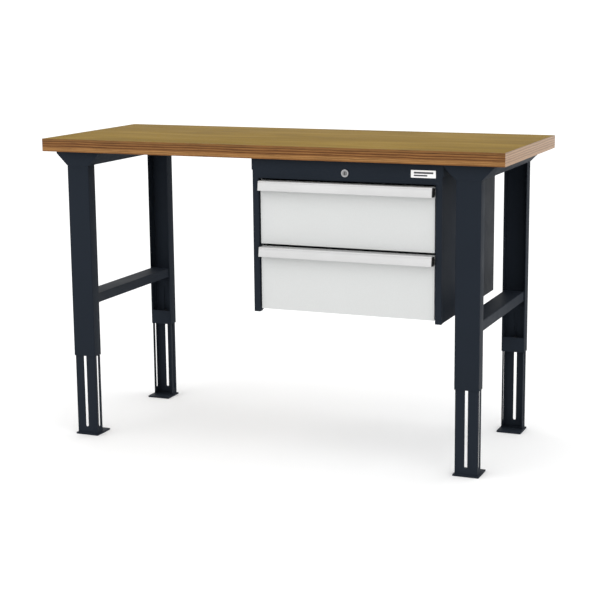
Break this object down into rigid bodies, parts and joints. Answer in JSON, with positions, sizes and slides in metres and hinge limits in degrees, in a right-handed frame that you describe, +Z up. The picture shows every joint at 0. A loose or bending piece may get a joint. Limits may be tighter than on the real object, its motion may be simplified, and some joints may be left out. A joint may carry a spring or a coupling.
{
  "type": "workbench with drawers",
  "caption": "Height-adjustable steel workbench with a plywood top, slotted telescopic feet and a hanging, lockable cabinet with full-extension drawers.",
  "frame": {"origin": "on the floor, under the middle of the worktop's bounding box", "axes": "+X to the right along the front, +Y to the back, +Z up"},
  "size_m": [1.5, 0.6, 0.96],
  "materials": {
    "plywood_top": "oiled beech plywood, olive tan, plies visible on the edges",
    "anthracite_steel": "fine textured powder coat, anthracite, semi-matt",
    "light_grey_steel": "smooth powder coat, light grey, satin",
    "grip_aluminium": "extruded, natural anodised, satin",
    "black_plastic": "moulded black plastic, matt",
    "zinc_steel": "bright zinc plated",
    "black_fastener": "black zinc plated",
    "lock_chrome": "satin nickel plated",
    "label_plastic": null
  },
  "bodies": {
    "frame": {"worktop": "plywood_top", "rail_left": "anthracite_steel", "rail_right": "anthracite_steel", "upright_front_left": "anthracite_steel", "upright_front_right": "anthracite_steel", "upright_rear_left": "anthracite_steel", "upright_rear_right": "anthracite_steel", "crossbar_left": "anthracite_steel", "crossbar_right": "anthracite_steel", "bridge_plate_front_left": "anthracite_steel", "bridge_plate_front_right": "anthracite_steel", "bridge_plate_rear_left": "anthracite_steel", "bridge_plate_rear_right": "anthracite_steel", "clamp_studs": "black_fastener", "clamp_nuts": "black_fastener", "worktop_screws": "zinc_steel", "cabinet_front_frame": "anthracite_steel", "cabinet_side_left": "anthracite_steel", "cabinet_side_right": "anthracite_steel", "cabinet_back": "anthracite_steel", "cabinet_top": "anthracite_steel", "cabinet_tie": "anthracite_steel", "hanger_left": "anthracite_steel", "hanger_right": "anthracite_steel", "hanger_screws": "zinc_steel", "runner_posts_left": "zinc_steel", "runner_posts_right": "zinc_steel", "drawer_1_outer_runner_left": "zinc_steel", "drawer_1_outer_runner_right": "zinc_steel", "drawer_2_outer_runner_left": "zinc_steel", "drawer_2_outer_runner_right": "zinc_steel", "lock_barrel": "lock_chrome", "lock_nut": "zinc_steel", "label": "label_plastic"},
    "foot_front_left": {"foot_leg_front_left": "anthracite_steel", "foot_plate_front_left": "anthracite_steel"},
    "foot_front_right": {"foot_leg_front_right": "anthracite_steel", "foot_plate_front_right": "anthracite_steel"},
    "foot_rear_left": {"foot_leg_rear_left": "anthracite_steel", "foot_plate_rear_left": "anthracite_steel"},
    "foot_rear_right": {"foot_leg_rear_right": "anthracite_steel", "foot_plate_rear_right": "anthracite_steel"},
    "drawer_1": {"drawer_1_front": "light_grey_steel", "drawer_1_handle": "grip_aluminium", "drawer_1_handle_caps": "black_plastic", "drawer_1_tray": "light_grey_steel", "drawer_1_inner_runner_left": "zinc_steel", "drawer_1_inner_runner_right": "zinc_steel"},
    "drawer_1_runners": {"drawer_1_middle_runner_left": "zinc_steel", "drawer_1_middle_runner_right": "zinc_steel"},
    "drawer_2": {"drawer_2_front": "light_grey_steel", "drawer_2_handle": "grip_aluminium", "drawer_2_handle_caps": "black_plastic", "drawer_2_tray": "light_grey_steel", "drawer_2_inner_runner_left": "zinc_steel", "drawer_2_inner_runner_right": "zinc_steel"},
    "drawer_2_runners": {"drawer_2_middle_runner_left": "zinc_steel", "drawer_2_middle_runner_right": "zinc_steel"},
    "lock_core": {"lock_plug": "lock_chrome", "lock_cam": "zinc_steel"}
  },
  "joints": [
    {"name": "drawer_1_slide", "type": "slide", "parent": "frame", "child": "drawer_1", "axis": [0, -1, 0], "range_m": [0, 0.48]},
    {"name": "drawer_1_runner_slide", "type": "slide", "parent": "frame", "child": "drawer_1_runners", "axis": [0, -1, 0], "range_m": [0, 0.24]},
    {"name": "drawer_2_slide", "type": "slide", "parent": "frame", "child": "drawer_2", "axis": [0, -1, 0], "range_m": [0, 0.48]},
    {"name": "drawer_2_runner_slide", "type": "slide", "parent": "frame", "child": "drawer_2_runners", "axis": [0, -1, 0], "range_m": [0, 0.24]},
    {"name": "lock_turn", "type": "hinge", "parent": "frame", "child": "lock_core", "pos_m": [0.2625, -0.278, 0.884], "axis": [0, 1, 0], "range_deg": [0, 90]},
    {"name": "foot_front_left_slide", "type": "slide", "parent": "frame", "child": "foot_front_left", "axis": [0, 0, 1], "range_m": [-0.09, 0.24]},
    {"name": "foot_front_right_slide", "type": "slide", "parent": "frame", "child": "foot_front_right", "axis": [0, 0, 1], "range_m": [-0.09, 0.24]},
    {"name": "foot_rear_left_slide", "type": "slide", "parent": "frame", "child": "foot_rear_left", "axis": [0, 0, 1], "range_m": [-0.09, 0.24]},
    {"name": "foot_rear_right_slide", "type": "slide", "parent": "frame", "child": "foot_rear_right", "axis": [0, 0, 1], "range_m": [-0.09, 0.24]}
  ],
  "couplings": [
    {"joint": "drawer_1_runner_slide", "follows": "drawer_1_slide", "ratio": 0.5},
    {"joint": "drawer_2_runner_slide", "follows": "drawer_2_slide", "ratio": 0.5}
  ]
}
